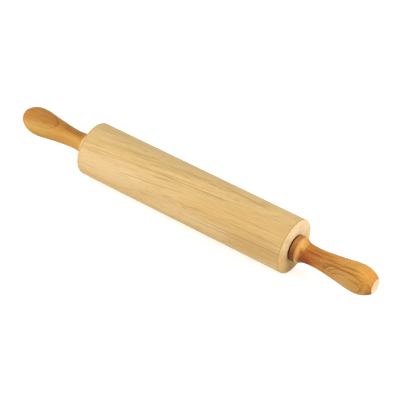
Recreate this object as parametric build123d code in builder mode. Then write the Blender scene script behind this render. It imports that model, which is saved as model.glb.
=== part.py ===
from build123d import *
import math
import os

# A wooden rolling pin. A maple roller turns on two ball bearings round a steel rod, and the rod carries a
# turned handle at each end. Millimetres. +X runs along the pin towards the right-hand handle and +Z is up.
# The origin is the point on the table under the middle of the roller.

# Roller
roller_diameter = 70.0
roller_length = 305.0
roller_edge_round = 1.8

# Rod, and the tube round it that keeps the two inner rings apart
rod_diameter = 9.525
rod_end_chamfer = 0.8
tube_room = 0.85

# Ball bearing, whose outside diameter follows from the rod, the balls and the rings' walls under the grooves
ball_diameter = 3.969
ball_count = 7
race_wall = 1.08
bearing_width = 7.142
shoulder_share = 0.65
cage_thickness_share = 0.4
cage_rim = 0.6
race_edge_chamfer = 0.3

# Stack between the roller's end face and the handle's foot
bearing_recess = 1.0
face_gap = 0.3
thrust_washer_thickness = 1.1
thrust_washer_step = 0.6
hub_spacer_step = 0.2
collar_diameter = 33.2
collar_width = 6.2
collar_edge_round = 0.5

# Handle, from its foot to its end
handle_length = 103.6
foot_bead_width = 3.0
foot_bead_crown = 0.5
neck_diameter = 23.8
bulb_diameter = 36.1
end_rim = 0.35
neck_place_share = 0.208
bulb_place_share = 0.757

# Handle outline between its named stations, each as a share of the way along and of the rise or fall
cove_shares = ((0.21, 0.56), (0.57, 0.90))
grip_shares = ((0.35, 0.23), (0.74, 0.71))
crown_shares = ((0.57, 0.21), (0.81, 0.56))

# Lock nut, washer and plug in the handle's counterbore
nut_flats_share = 1.5
nut_height_share = 0.9
nut_collar_height_share = 0.3
nut_collar_width_share = 0.88
nut_sides = 6
nut_bevel_slope = math.tan(math.radians(30))
nut_room = 1.27
handle_washer_thickness = 1.6
handle_washer_room = 0.4
washer_hole_room = 0.4
thread_projection = 2.0
plug_gap = 2.5
plug_length = 9.5
plug_proud = 0.4
plug_edge_chamfer = 0.4

# Radial clearances, and how far a cutting form runs past what it cuts
snug_clearance = 0.02
slip_clearance = 0.15
ball_clearance = 0.1
overrun = 1.0

# Radii worked out from the sizes above
roller_radius = roller_diameter / 2
rod_radius = rod_diameter / 2
inner_bore_radius = rod_radius + snug_clearance
slip_hole_radius = rod_radius + slip_clearance
ball_radius = ball_diameter / 2
groove_radius = ball_radius + ball_clearance
pitch_radius = inner_bore_radius + race_wall + groove_radius
outer_race_radius = pitch_radius + groove_radius + race_wall
inner_shoulder_radius = pitch_radius - shoulder_share * ball_radius
outer_shoulder_radius = pitch_radius + shoulder_share * ball_radius
cage_width = 2 * (groove_radius + cage_rim)
roller_bore_radius = inner_shoulder_radius + tube_room
bearing_seat_radius = outer_race_radius + snug_clearance
hub_spacer_radius = inner_shoulder_radius - hub_spacer_step
collar_radius = collar_diameter / 2
neck_radius = neck_diameter / 2
bulb_radius = bulb_diameter / 2
nut_flat_radius = nut_flats_share * rod_diameter / 2
nut_corner_radius = nut_flat_radius / math.cos(math.pi / nut_sides)
nut_height = nut_height_share * rod_diameter
nut_collar_height = nut_collar_height_share * nut_height
counterbore_radius = nut_corner_radius + nut_room
handle_end_radius = counterbore_radius + end_rim

# Places along the pin, counted from its middle
roller_face_x = roller_length / 2
bearing_outer_x = roller_face_x - bearing_recess
bearing_middle_x = bearing_outer_x - bearing_width / 2
bearing_inner_x = bearing_outer_x - bearing_width
thrust_washer_x = roller_face_x + face_gap
collar_x = thrust_washer_x + thrust_washer_thickness
foot_x = collar_x + collar_width
handle_end_x = foot_x + handle_length
plug_end_x = handle_end_x + plug_proud
plug_inner_x = plug_end_x - plug_length
rod_end_x = plug_inner_x - plug_gap
nut_outer_x = rod_end_x - thread_projection
nut_inner_x = nut_outer_x - nut_height
counterbore_floor_x = nut_inner_x - handle_washer_thickness

# The pin's axis lies one roller radius above the table
pin_plane = Plane(origin=(0, 0, roller_radius), x_dir=(1, 0, 0), z_dir=(0, -1, 0))
cross_plane = Plane(origin=(0, 0, roller_radius), x_dir=(0, 1, 0), z_dir=(1, 0, 0))
pin_axis = Axis((0, 0, roller_radius), (1, 0, 0))


def end_plane(x):
    """The plane across the pin at x, which faces its right-hand end."""
    return cross_plane.offset(x)


def station(start, finish, shares):
    """A point that lies the given shares of the way along and across from start to finish."""
    along_share, across_share = shares
    (x0, y0), (x1, y1) = start, finish
    return (x0 + along_share * (x1 - x0), y0 + across_share * (y1 - y0))


def write(piece, name):
    """Labels a piece and writes it."""
    piece.part.label = name
    export_step(piece.part, f"parts/{name}.step")


def write_pair(piece, name):
    """Writes a right-hand piece and its mirror image on the left."""
    write(piece, f"right_{name}")
    with BuildPart() as twin:
        mirror(piece.part, about=Plane.YZ)
    write(twin, f"left_{name}")


def ring(inner_radius, outer_radius, x0, x1):
    """A plain ring round the pin's axis from x0 to x1."""
    with BuildPart() as piece:
        with BuildSketch(end_plane(x0)):
            Circle(outer_radius)
            Circle(inner_radius, mode=Mode.SUBTRACT)
        extrude(amount=x1 - x0)
    return piece


def race(inner_radius, outer_radius):
    """A bearing ring with its ball groove, turned about the pin's axis."""
    with BuildPart() as piece:
        with BuildSketch(pin_plane) as section:
            with Locations((bearing_middle_x, (inner_radius + outer_radius) / 2)):
                Rectangle(bearing_width, outer_radius - inner_radius)
            chamfer(section.vertices(), race_edge_chamfer)
            with Locations((bearing_middle_x, pitch_radius)):
                Circle(groove_radius, mode=Mode.SUBTRACT)
        revolve(axis=pin_axis)
    return piece


os.makedirs("parts", exist_ok=True)

# Roller, bored for the rod's tube and counterbored at each end for a bearing
with BuildPart() as roller:
    with BuildSketch(cross_plane):
        Circle(roller_radius)
    extrude(amount=roller_length / 2, both=True)
    fillet(roller.edges().filter_by(GeomType.CIRCLE), roller_edge_round)
    with Locations(end_plane(roller_face_x), -end_plane(-roller_face_x)):
        CounterBoreHole(
            radius=roller_bore_radius,
            counter_bore_radius=bearing_seat_radius,
            counter_bore_depth=bearing_recess + bearing_width,
            depth=roller_face_x,
        )
write(roller, "roller")

# Rod, with its threaded ends drawn plain
with BuildPart() as axle_rod:
    with BuildSketch(cross_plane):
        Circle(rod_radius)
    extrude(amount=rod_end_x, both=True)
    chamfer(axle_rod.edges().filter_by(GeomType.CIRCLE), rod_end_chamfer)
write(axle_rod, "axle_rod")

# Tube between the two inner rings
spacer_tube = ring(slip_hole_radius, inner_shoulder_radius, -bearing_inner_x, bearing_inner_x)
write(spacer_tube, "spacer_tube")

# Bearing rings
inner_race = race(inner_bore_radius, inner_shoulder_radius)
write_pair(inner_race, "inner_race")
outer_race = race(outer_shoulder_radius, outer_race_radius)
write_pair(outer_race, "outer_race")

# Balls, evenly spaced on the pitch circle
with BuildPart(end_plane(bearing_middle_x)) as balls:
    with PolarLocations(pitch_radius, ball_count):
        Sphere(ball_radius)
write_pair(balls, "balls")

# Cage, a thin ring drilled across with a round pocket for each ball
cage_half_thickness = cage_thickness_share * ball_radius
with BuildPart(end_plane(bearing_middle_x)) as cage:
    Cylinder(pitch_radius + cage_half_thickness, cage_width)
    Cylinder(pitch_radius - cage_half_thickness, cage_width, mode=Mode.SUBTRACT)
    with PolarLocations(pitch_radius, ball_count):
        Cylinder(
            groove_radius, 2 * (cage_half_thickness + overrun), rotation=(0, 90, 0), mode=Mode.SUBTRACT
        )
write_pair(cage, "cage")

# Short steel ring from the bearing's inner ring to the collar
hub_spacer = ring(slip_hole_radius, hub_spacer_radius, bearing_outer_x, collar_x)
write_pair(hub_spacer, "hub_spacer")

# Thin dark washer that takes the side thrust between the roller's face and the collar
thrust_washer = ring(
    hub_spacer_radius + slip_clearance, collar_radius - thrust_washer_step, thrust_washer_x, collar_x
)
write_pair(thrust_washer, "thrust_washer")

# Turned collar under the handle's foot
with BuildPart() as collar:
    with BuildSketch(end_plane(collar_x)):
        Circle(collar_radius)
    extrude(amount=collar_width)
    fillet(collar.edges().filter_by(GeomType.CIRCLE), collar_edge_round)
    with Locations(end_plane(foot_x)):
        Hole(slip_hole_radius)
write_pair(collar, "collar")

# Handle: a beaded foot, a cove into the neck, a long swell to the bulb and a round end
foot_edge = (foot_x, collar_radius - foot_bead_crown)
bead_top = (foot_x + foot_bead_width / 2, collar_radius)
bead_end = (foot_x + foot_bead_width, collar_radius - foot_bead_crown)
neck = (foot_x + neck_place_share * handle_length, neck_radius)
bulb = (foot_x + bulb_place_share * handle_length, bulb_radius)
end_edge = (handle_end_x, handle_end_radius)
with BuildPart() as handle:
    with BuildSketch(pin_plane):
        with BuildLine():
            Line((foot_x, 0), foot_edge)
            ThreePointArc(foot_edge, bead_top, bead_end)
            Spline(
                bead_end,
                *(station(bead_end, neck, shares) for shares in cove_shares),
                neck,
                *(station(neck, bulb, shares) for shares in grip_shares),
                bulb,
                *(station(bulb, end_edge, shares) for shares in crown_shares),
                end_edge,
            )
            Polyline(end_edge, (handle_end_x, 0), (foot_x, 0))
        make_face()
    revolve(axis=pin_axis)
    with Locations(end_plane(handle_end_x)):
        CounterBoreHole(
            radius=slip_hole_radius,
            counter_bore_radius=counterbore_radius,
            counter_bore_depth=handle_end_x - counterbore_floor_x,
            depth=handle_length,
        )
write_pair(handle, "handle")

# Flat washer on the counterbore's floor
handle_washer = ring(
    rod_radius + washer_hole_room,
    counterbore_radius - handle_washer_room,
    counterbore_floor_x,
    nut_inner_x,
)
write_pair(handle_washer, "handle_washer")

# Lock nut: a hexagon with turned corners, and a round collar that holds the locking ring
hexagon_end_x = nut_outer_x - nut_collar_height
corner_bevel = (nut_corner_radius - nut_flat_radius) * nut_bevel_slope
with BuildPart() as lock_nut:
    with BuildSketch(end_plane(nut_inner_x)):
        RegularPolygon(nut_flat_radius, nut_sides, major_radius=False)
    extrude(amount=hexagon_end_x - nut_inner_x)
    with BuildSketch(pin_plane):
        Polygon(
            (nut_inner_x, 0),
            (nut_inner_x, nut_flat_radius),
            (nut_inner_x + corner_bevel, nut_corner_radius),
            (hexagon_end_x - corner_bevel, nut_corner_radius),
            (hexagon_end_x, nut_flat_radius),
            (hexagon_end_x, 0),
            align=None,
        )
    revolve(axis=pin_axis, mode=Mode.INTERSECT)
    with BuildSketch(end_plane(hexagon_end_x)):
        Circle(nut_collar_width_share * nut_flat_radius)
    extrude(amount=nut_collar_height)
    with Locations(end_plane(nut_outer_x)):
        Hole(rod_radius + snug_clearance)
write_pair(lock_nut, "lock_nut")

# Plug that closes the counterbore
with BuildPart() as plug:
    with BuildSketch(end_plane(plug_inner_x)):
        Circle(counterbore_radius - snug_clearance)
    extrude(amount=plug_length)
    chamfer(plug.edges().filter_by(GeomType.CIRCLE).sort_by(Axis.X)[-1], plug_edge_chamfer)
write_pair(plug, "plug")
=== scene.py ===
"""A wooden rolling pin: a pale maple barrel on a steel axle, with turned and stained handles.

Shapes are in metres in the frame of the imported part: X runs along the pin, Z is up, and the
turning axis lies one barrel radius above the table. Finishes are laid out in millimetres, with
Y and Z counted from the turning axis.
"""

import logging
import math
from abc import ABC, abstractmethod
from dataclasses import dataclass, field, replace
from enum import Enum
from typing import Any, Dict, List, Optional, Sequence, Tuple, Union

import bmesh
import bpy
import numpy as np
from bpy.types import ColorRamp, Material, Node, NodeSocket, NodeTree, Object, World
from mathutils import Matrix, Vector


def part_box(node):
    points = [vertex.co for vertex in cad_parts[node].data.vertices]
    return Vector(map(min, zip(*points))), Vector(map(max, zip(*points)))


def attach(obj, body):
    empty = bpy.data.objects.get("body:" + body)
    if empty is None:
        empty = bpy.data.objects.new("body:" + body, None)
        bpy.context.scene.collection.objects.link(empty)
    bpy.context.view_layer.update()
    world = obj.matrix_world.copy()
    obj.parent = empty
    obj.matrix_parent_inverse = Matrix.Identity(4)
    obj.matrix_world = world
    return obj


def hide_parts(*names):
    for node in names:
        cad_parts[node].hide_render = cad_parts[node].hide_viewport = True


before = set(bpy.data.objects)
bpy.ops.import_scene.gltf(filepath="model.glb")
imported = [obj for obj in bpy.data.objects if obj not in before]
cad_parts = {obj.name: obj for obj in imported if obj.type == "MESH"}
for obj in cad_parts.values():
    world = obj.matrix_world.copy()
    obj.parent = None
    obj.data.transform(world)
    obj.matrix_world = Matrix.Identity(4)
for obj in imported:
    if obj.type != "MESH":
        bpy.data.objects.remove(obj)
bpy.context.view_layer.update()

log = logging.getLogger("rolling_pin")

# Lengths, of which a hair is the least that tells two places apart
MM = 0.001
HAIR = 0.01 * MM
AXIS_HEIGHT = 35.0 * MM

Colour = Tuple[float, float, float]
Triple = Tuple[float, float, float]
Pair = Tuple[float, float]

WHITE: Colour = (1.0, 1.0, 1.0)
STILL: Triple = (0.0, 0.0, 0.0)


class Side(Enum):
    """An end of the pin, with the sign that its places take along X."""

    LEFT = -1
    RIGHT = 1

    @property
    def prefix(self) -> str:
        """The first word of this end's node names."""
        return self.name.lower()


class MetalWork(Enum):
    """How a metal surface was last worked."""

    TURNED = "turned"
    DRAWN = "drawn"
    GROUND = "ground"


def linear(red: int, green: int, blue: int) -> Colour:
    """Turns a display colour into the linear one that a shader takes.

    Args:
        red: Red from 0 to 255, as a colour picker shows it.
        green: Green, likewise.
        blue: Blue, likewise.

    Returns:
        The same colour in linear light, each part from 0 to 1.
    """
    def part(value: int) -> float:
        """One channel in linear light, by the curve that displays share."""
        share = value / 255
        return share / 12.92 if share <= 0.04045 else ((share + 0.055) / 1.055) ** 2.4

    return part(red), part(green), part(blue)


# Shader maths


class Value:
    """A socket that carries one number, so that maths on it reads as a plain expression."""

    def __init__(self, tree: NodeTree, socket: NodeSocket) -> None:
        """Wraps a socket of a node tree."""
        self.tree = tree
        self.socket = socket

    def _math(self, operation: str, first: "Term", second: "Term") -> "Value":
        """Adds one Math node.

        Args:
            operation: The Math node's operation.
            first: Its first term.
            second: Its second term.

        Returns:
            The node's result.
        """
        node = self.tree.nodes.new("ShaderNodeMath")
        node.operation = operation
        for place, term in enumerate((first, second)):
            if isinstance(term, Value):
                self.tree.links.new(term.socket, node.inputs[place])
            else:
                node.inputs[place].default_value = float(term)
        return Value(self.tree, node.outputs[0])

    def __add__(self, other: "Term") -> "Value":
        """This value plus another."""
        return self._math("ADD", self, other)

    def __radd__(self, other: "Term") -> "Value":
        """A number plus this value."""
        return self._math("ADD", other, self)

    def __sub__(self, other: "Term") -> "Value":
        """This value less another."""
        return self._math("SUBTRACT", self, other)

    def __rsub__(self, other: "Term") -> "Value":
        """A number less this value."""
        return self._math("SUBTRACT", other, self)

    def __mul__(self, other: "Term") -> "Value":
        """This value times another."""
        return self._math("MULTIPLY", self, other)

    def __rmul__(self, other: "Term") -> "Value":
        """A number times this value."""
        return self._math("MULTIPLY", other, self)

    def __truediv__(self, other: "Term") -> "Value":
        """This value over another."""
        return self._math("DIVIDE", self, other)

    def __rtruediv__(self, other: "Term") -> "Value":
        """A number over this value."""
        return self._math("DIVIDE", other, self)

    def __abs__(self) -> "Value":
        """This value without its sign."""
        return self._math("ABSOLUTE", self, 0.0)


Term = Union[Value, float, int]
Feed = Union[Value, NodeSocket, float, int, Sequence[float]]
Place = Tuple[Value, Value, Value]


@dataclass(frozen=True)
class Weave:
    """A soft noise that is drawn out along its first direction.

    Along and across are how often it changes in a millimetre, detail is how many finer layers
    it has and roughness how strong they are. Used as marks, it starts to show at the level
    start and shows fully at the level full.
    """

    along: float
    across: float
    detail: float = 2.0
    roughness: float = 0.5
    start: float = 0.0
    full: float = 1.0


class Recipe:
    """The node tree of a finish or of the world, with short ways to add what it is made of."""

    def __init__(self, owner: Union[Material, World]) -> None:
        """Starts with an empty node tree.

        Args:
            owner: The material or world that the tree belongs to.
        """
        owner.use_nodes = True
        self.owner = owner
        self.tree = owner.node_tree
        self.tree.nodes.clear()

    def node(
        self,
        kind: str,
        settings: Optional[Dict[str, Any]] = None,
        sockets: Optional[Dict[Union[str, int], Feed]] = None,
    ) -> Node:
        """Adds a node.

        Args:
            kind: The node's type.
            settings: What is set first, such as an operation, or a ramp's "stops" as
                (place, colour) pairs.
            sockets: The values or links of its sockets, by name or number.

        Returns:
            The node.
        """
        node = self.tree.nodes.new(kind)
        for key, value in (settings or {}).items():
            if key == "stops":
                self._set_stops(node.color_ramp, value)
            else:
                setattr(node, key, value)
        for key, feed in (sockets or {}).items():
            entry = node.inputs[key]
            if isinstance(feed, Value):
                feed = feed.socket
            if isinstance(feed, NodeSocket):
                self.tree.links.new(feed, entry)
            elif entry.type == "RGBA":
                entry.default_value = (*feed, 1.0)
            else:
                entry.default_value = feed
        return node

    def _set_stops(self, ramp: ColorRamp, stops: Sequence[Tuple[float, Colour]]) -> None:
        """Sets a ramp's stops.

        Args:
            ramp: The ramp.
            stops: Its places from 0 to 1 with their colours, rising.
        """
        while len(ramp.elements) < len(stops):
            ramp.elements.new(0.5)
        for element, (place, colour) in zip(ramp.elements, stops):
            element.position = place
            element.color = (*colour, 1.0)

    def value(self, node: Node, output: Union[str, int] = 0) -> Value:
        """One output of a node as a value."""
        return Value(self.tree, node.outputs[output])

    def _parts(self, output: str) -> Place:
        """Splits one output of the texture coordinates.

        Args:
            output: Its name.

        Returns:
            Its three parts.
        """
        vector = self.node("ShaderNodeTexCoord").outputs[output]
        parts = self.node("ShaderNodeSeparateXYZ", sockets={0: vector})
        return self.value(parts, 0), self.value(parts, 1), self.value(parts, 2)

    def point(self) -> Place:
        """The place on the surface: X, and Y and Z from the turning axis, in millimetres."""
        x, y, z = self._parts("Object")
        return x / MM, y / MM, (z - AXIS_HEIGHT) / MM

    def endwise(self) -> Value:
        """How squarely the surface faces along the pin, from 0 to 1."""
        return abs(self._parts("Normal")[0])

    def noise(self, weave: Weave, spot: Sequence[Term], shift: Triple = STILL) -> Value:
        """Soft noise about one half.

        Args:
            weave: How it is drawn out and layered.
            spot: Where it is read, in millimetres.
            shift: How far it is moved in its own space, which makes it another noise.

        Returns:
            A value from 0 to 1.
        """
        x, y, z = spot
        point = self.node("ShaderNodeCombineXYZ", sockets={0: x, 1: y, 2: z}).outputs[0]
        drawn = self.node(
            "ShaderNodeVectorMath",
            {"operation": "MULTIPLY_ADD"},
            {0: point, 1: (weave.along, weave.across, weave.across), 2: shift},
        )
        node = self.node(
            "ShaderNodeTexNoise",
            {"noise_dimensions": "3D"},
            {
                "Vector": drawn.outputs[0],
                "Scale": 1.0,
                "Detail": weave.detail,
                "Roughness": weave.roughness,
            },
        )
        return self.value(node, 0)

    def marks(self, weave: Weave, spot: Sequence[Term], shift: Triple = STILL) -> Value:
        """Where a noise is strong enough to show, from 0 to 1."""
        return self.step(self.noise(weave, spot, shift), weave.start, weave.full)

    def step(self, value: Value, low: float, high: float) -> Value:
        """A smooth rise.

        Args:
            value: What is measured.
            low: Where the result leaves 0. It may be above high, for a fall.
            high: Where it reaches 1.

        Returns:
            A value from 0 to 1.
        """
        flipped = low > high
        node = self.node(
            "ShaderNodeMapRange",
            {"interpolation_type": "SMOOTHSTEP"},
            {
                "Value": value,
                "From Min": min(low, high),
                "From Max": max(low, high),
                "To Min": 1.0 if flipped else 0.0,
                "To Max": 0.0 if flipped else 1.0,
            },
        )
        return self.value(node, 0)

    def ramp(self, value: Value, stops: Sequence[Tuple[float, Colour]]) -> NodeSocket:
        """A colour that follows a value through its stops."""
        return self.node("ShaderNodeValToRGB", {"stops": stops}, {"Fac": value}).outputs["Color"]

    def curve(self, value: Value, stops: Sequence[Tuple[float, float]]) -> Value:
        """A number that follows a value through its stops."""
        greys = [(place, (level, level, level)) for place, level in stops]
        return Value(self.tree, self.ramp(value, greys))

    def mix(self, amount: Term, first: Feed, second: Feed, blend: str = "MIX") -> NodeSocket:
        """Blends two colours.

        Args:
            amount: How much of the blend shows, from 0 to 1.
            first: The colour underneath.
            second: The colour on top.
            blend: How the two are put together.

        Returns:
            The blended colour.
        """
        node = self.node(
            "ShaderNodeMix",
            {"data_type": "RGBA", "blend_type": blend, "clamp_factor": True},
            {0: amount, 6: first, 7: second},
        )
        return node.outputs[2]

    def scaled(self, colour: NodeSocket, amount: Value) -> NodeSocket:
        """A colour made lighter or darker by a value."""
        sockets = {0: colour, "Scale": amount}
        return self.node("ShaderNodeVectorMath", {"operation": "SCALE"}, sockets).outputs[0]

    def finish(
        self,
        colour: Feed,
        roughness: Feed,
        height: Value,
        depth: float,
        strength: float,
        fixed: Dict[str, float],
    ) -> Material:
        """Ends the recipe in a surface.

        Args:
            colour: Base colour.
            roughness: Roughness.
            height: The relief that the light shows, from 0 to 1.
            depth: How deep that relief is, in metres.
            strength: How strongly it shows.
            fixed: Values that are the same all over, by socket name.

        Returns:
            The material.
        """
        bump = self.node(
            "ShaderNodeBump", sockets={"Strength": strength, "Distance": depth, "Height": height}
        )
        surface = self.node(
            "ShaderNodeBsdfPrincipled",
            sockets={
                "Base Color": colour,
                "Roughness": roughness,
                "Normal": bump.outputs[0],
                **fixed,
            },
        )
        self.node("ShaderNodeOutputMaterial", sockets={"Surface": surface.outputs[0]})
        return self.owner


# Finishes

# The level about which every noise varies
MEAN = 0.5

# The wood's marks along and across its grain; the weaves that follow a piece's own widths
# are drawn up where they are used
FIBRES = Weave(0.05, 1.6, 4.0, 0.6)
FLECKS = Weave(0.13, 1.9, 1.5, start=0.62, full=0.7)
FADING = Weave(0.016, 0.16, 2.0, 0.55)
TOOL_MARKS = Weave(3.1, 0.0, 2.0, 0.7)
TEARING = Weave(0.02, 0.7, 3.0, 0.6)
STAIN_CLOUD = Weave(0.03, 0.07)

# Marks of its yearly rings and of its cut ends
RING_BEND = Weave(0.0075, 0.02, 1.0, 0.4)
RING_RIPPLE = Weave(0.03, 0.08)
END_PORES = Weave(3.4, 3.4, 2.0, 0.6, start=0.52, full=0.7)
END_CLOUD = Weave(0.07, 0.07)
RAYS = Weave(0.12, 1.5, start=0.54, full=0.7)

# Late wood through one ring, from the pith's side of it to the bark's
RING_PROFILE = (
    (0.0, 0.4), (0.08, 0.03), (0.4, 0.02), (0.66, 0.2), (0.86, 0.6), (0.95, 1.0), (1.0, 0.4)
)
# How often the rings' width changes and by how many rings, and a count that keeps them above 0
RING_CHANGE = 0.22
RING_SPREAD = 2.6
RINGS_BELOW = 200.0

# How strong the faintest ring is and by how much the others differ from it
FAINTEST_RING = 0.4
RING_DIFFERENCE = 0.8

# Levels between which a mark comes in (for a patch's facing, millimetres in front of the
# axis), and how strongly it then shows
DARK_STREAK = (0.55, 0.64)
PALE_STREAK = (0.46, 0.38)
PALE_STREAK_SHARE = 0.8
LINE_EDGE = (0.03, 0.008)
LINE_FADE = (0.42, 0.58)
RING_FADE = (0.25, 0.55)
END_FACING = (0.6, 0.97)
PATCH_FACING = (0.0, 4.0)
PATCH_RIM = (0.13, 0.02)
OPEN_END_FADE = (0.5, -0.5)
END_TONE = (0.15, 0.7)
# painted shade: end grain darkens away from the rings' direction, so the barrel's end faces grow
# darker towards the bottom
END_SHADE_SLOPE = 0.012
END_RING_SHARE = 0.8
RAY_STRENGTH = 0.25
PORE_STRENGTH = 0.22

# The eased arris with its painted highlight, and the painted shade ring round the hub, in millimetres
# past their places
ARRIS_WANDER = 0.5
ARRIS_LINE = (0.75, 0.25)
ARRIS_HIGHLIGHT = (0.6, 1.1)
ARRIS_LINE_STRENGTH = 0.6
ARRIS_HIGHLIGHT_STRENGTH = 0.7
HUB_SHADE = (1.6, 0.3)
HUB_SHADE_STRENGTH = 0.8

# How far each mark stands up from the wood, and how much rougher it is
FIBRE_RELIEF, LATE_RELIEF, FLECK_RELIEF = 0.5, 0.2, 0.4
FIBRE_ROUGHNESS, END_ROUGHNESS, LATE_ROUGHNESS = 0.16, 0.1, 0.05


def varied(middle: float, level: Value, spread: float) -> Value:
    """A number that a noise moves to both sides of its middle."""
    return middle + (level - MEAN) * spread


def turned(place: Place, degrees: float) -> Tuple[Value, Value]:
    """How far a place lies in a direction round the axis, and how far to the side of it.

    Args:
        place: The place.
        degrees: The direction, from +Y towards +Z.

    Returns:
        The two distances.
    """
    _, y, z = place
    turn = math.radians(degrees)
    return y * math.cos(turn) + z * math.sin(turn), z * math.cos(turn) - y * math.sin(turn)


class Finish(ABC):
    """Something a surface is finished with."""

    @abstractmethod
    def make(self) -> Material:
        """Builds the finish as a material."""


@dataclass(frozen=True)
class Tones:
    """The colours of one wood, in linear light."""

    early: Colour
    late: Colour
    band: Colour
    glow: Colour
    end: Colour
    end_late: Colour


@dataclass(frozen=True)
class Rings:
    """The yearly rings of the board a piece is cut from, in millimetres.

    They lie across the direction angle, in degrees round the axis from +Y towards +Z.
    """

    angle: float
    width: float
    pith_distance: float
    strength: float = 0.5
    shift: float = 0.0
    wander: float = 5.0
    ripple: float = 0.5
    tone_spread: float = 0.06


@dataclass(frozen=True)
class Grain:
    """How the wood's fibres run and how strongly each kind of mark shows.

    The drifts are how far the fibres leave the axis in each millimetre along. Widths and gaps
    are in millimetres.
    """

    drift_y: float = 0.0
    drift_z: float = 0.0
    bands: float = 0.5
    band_width: float = 12.0
    streaks: float = 0.4
    streak_width: float = 1.8
    lines: float = 0.4
    line_gap: float = 5.0
    flecks: float = 0.3
    fibre: float = 0.12


@dataclass(frozen=True)
class Stain:
    """A stain whose depth follows the place along the pin, in millimetres."""

    stops: Tuple[Tuple[float, Colour], ...]
    start: float
    length: float
    cloud: float = 0.12


@dataclass(frozen=True)
class Patch:
    """A place on the turned surface where the wood has another tone.

    Lengths are half lengths in millimetres. Turn is in degrees round the axis from +Y
    towards +Z, and slant is how far the patch drifts sideways for each millimetre along.
    The dark rim fades out at the open end, which is -1 for the left one and 1 for the right.
    """

    tone: Colour
    place: float
    turn: float
    length: float
    width: float
    strength: float
    slant: float = 0.0
    ragged: float = 1.2
    soft: float = 0.7
    rim: float = 0.0
    open_end: int = 0


@dataclass(frozen=True)
class Timber(Finish):
    """Solid wood, cut from one board, so that every face shows the same rings.

    The arris gets its painted highlight and the hub its painted shade ring where their places, in
    millimetres, aren't 0.
    """

    name: str
    tones: Tones
    rings: Rings
    grain: Grain = Grain()
    stain: Optional[Stain] = None
    patches: Tuple[Patch, ...] = ()
    end_strength: float = 0.55
    arris_place: float = 0.0
    hub_radius: float = 0.0
    roughness: float = 0.5
    shine: float = 0.5
    coat: float = 0.0
    relief: float = 0.4
    turning_marks: float = 0.15
    seed: float = 0.0

    def make(self) -> Material:
        """Builds the wood."""
        return WoodRecipe(self).build()


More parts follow.
